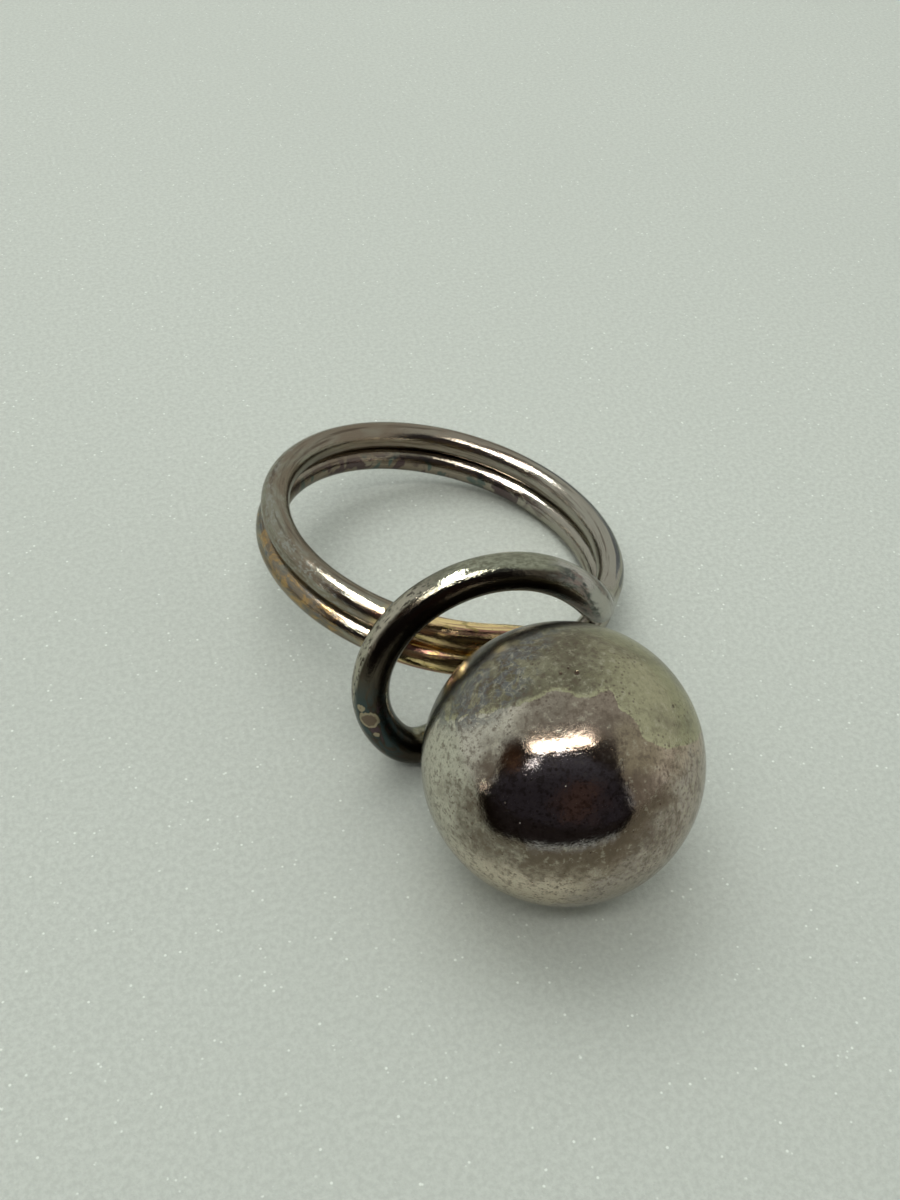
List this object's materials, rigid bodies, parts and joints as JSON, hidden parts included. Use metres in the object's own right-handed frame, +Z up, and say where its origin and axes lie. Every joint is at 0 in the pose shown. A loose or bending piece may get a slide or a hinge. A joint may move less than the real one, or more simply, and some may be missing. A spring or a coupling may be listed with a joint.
{
  "type": "split key ring with ball fob",
  "caption": "Sprung wire ring of two touching turns that holds keys, with the same wire arched over to a hollow ball fob.",
  "frame": {"origin": "on the table, under the middle of the object's box", "axes": "+Y from the ball to the ring, the longest extent; +Z up as it lies on a table; +X to the right seen from the ball"},
  "size_m": [0.0316, 0.0546, 0.02],
  "materials": {
    "ring_wire": "tarnished silver, polished under brown and grey bloom",
    "arch_wire": "tarnished silver, darker brown and blue-black patches",
    "ball": "tarnished silver, cream and olive patches with fine pits",
    "solder": "silver solder, satin"
  },
  "bodies": {
    "root": {"lower_turn_right": "ring_wire", "crossover": "ring_wire", "upper_turn_left": "ring_wire", "upper_turn_right": "ring_wire", "arch_riser": "arch_wire", "arch_top": "arch_wire", "arch_side": "arch_wire", "arch_curl": "arch_wire", "ball_peg": "arch_wire", "ball_rear_shell": "ball", "ball_front_shell": "ball", "ball_seam_solder": "solder", "peg_solder_collar": "solder"},
    "free_turn": {"free_half_turn": "ring_wire"}
  },
  "joints": [
    {"name": "ring_opening", "type": "hinge", "parent": "root", "child": "free_turn", "pos_m": [-0.00009, 0.0259, 0.00354], "axis": [0.9728, -0.0325, -0.2291], "range_deg": [0, 7], "stiffness_Nm_per_rad": 1}
  ]
}
